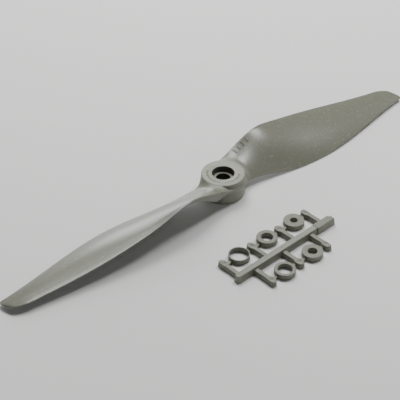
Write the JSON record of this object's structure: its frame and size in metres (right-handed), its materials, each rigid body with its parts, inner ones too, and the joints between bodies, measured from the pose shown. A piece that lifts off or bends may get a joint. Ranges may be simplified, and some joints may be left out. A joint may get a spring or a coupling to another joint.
{
  "type": "propeller",
  "caption": "Twisted plastic propeller with swept tips and a bored, recessed hub, beside a moulded tree of snap-out adapter rings that fit the hub to different shafts.",
  "frame": {"origin": "on the shaft bore's axis, at the hub's back face", "axes": "+Z along the shaft bore, forwards out of the hub's front face; +X along blade A towards its tip; the ring tree lies on the -Y side on the plane z = 0"},
  "size_m": [0.2294, 0.0735, 0.0154],
  "materials": {
    "propeller_nylon": "matte, glass-filled moulded nylon",
    "ring_nylon": "matte, glass-filled moulded nylon"
  },
  "bodies": {
    "propeller": {"hub": "propeller_nylon", "blade_a": "propeller_nylon", "blade_b": "propeller_nylon"},
    "ring_tree": {"runner_bar": "ring_nylon", "runner_stub": "ring_nylon", "far_arm_1": "ring_nylon", "far_arm_2": "ring_nylon", "far_arm_3": "ring_nylon", "far_arm_4": "ring_nylon", "near_arm_1": "ring_nylon", "near_arm_2": "ring_nylon", "near_arm_3": "ring_nylon", "ring_gates_8mm": "ring_nylon", "ring_gates_5mm": "ring_nylon", "ring_gates_3_2mm": "ring_nylon", "ring_gates_6mm": "ring_nylon", "ring_gates_4mm": "ring_nylon"},
    "ring_8mm": {"adapter_ring_8mm": "ring_nylon"},
    "ring_5mm": {"adapter_ring_5mm": "ring_nylon"},
    "ring_3_2mm": {"adapter_ring_3_2mm": "ring_nylon"},
    "ring_6mm": {"adapter_ring_6mm": "ring_nylon"},
    "ring_4mm": {"adapter_ring_4mm": "ring_nylon"}
  },
  "joints": [
    {"name": "ring_tree_lift", "type": "slide", "parent": "propeller", "child": "ring_tree", "axis": [0, 0, 1], "range_m": [0, 0.05]},
    {"name": "ring_8mm_lift", "type": "slide", "parent": "ring_tree", "child": "ring_8mm", "axis": [0, 0, 1], "range_m": [0, 0.012]},
    {"name": "ring_5mm_lift", "type": "slide", "parent": "ring_tree", "child": "ring_5mm", "axis": [0, 0, 1], "range_m": [0, 0.012]},
    {"name": "ring_3_2mm_lift", "type": "slide", "parent": "ring_tree", "child": "ring_3_2mm", "axis": [0, 0, 1], "range_m": [0, 0.012]},
    {"name": "ring_6mm_lift", "type": "slide", "parent": "ring_tree", "child": "ring_6mm", "axis": [0, 0, 1], "range_m": [0, 0.012]},
    {"name": "ring_4mm_lift", "type": "slide", "parent": "ring_tree", "child": "ring_4mm", "axis": [0, 0, 1], "range_m": [0, 0.012]}
  ]
}
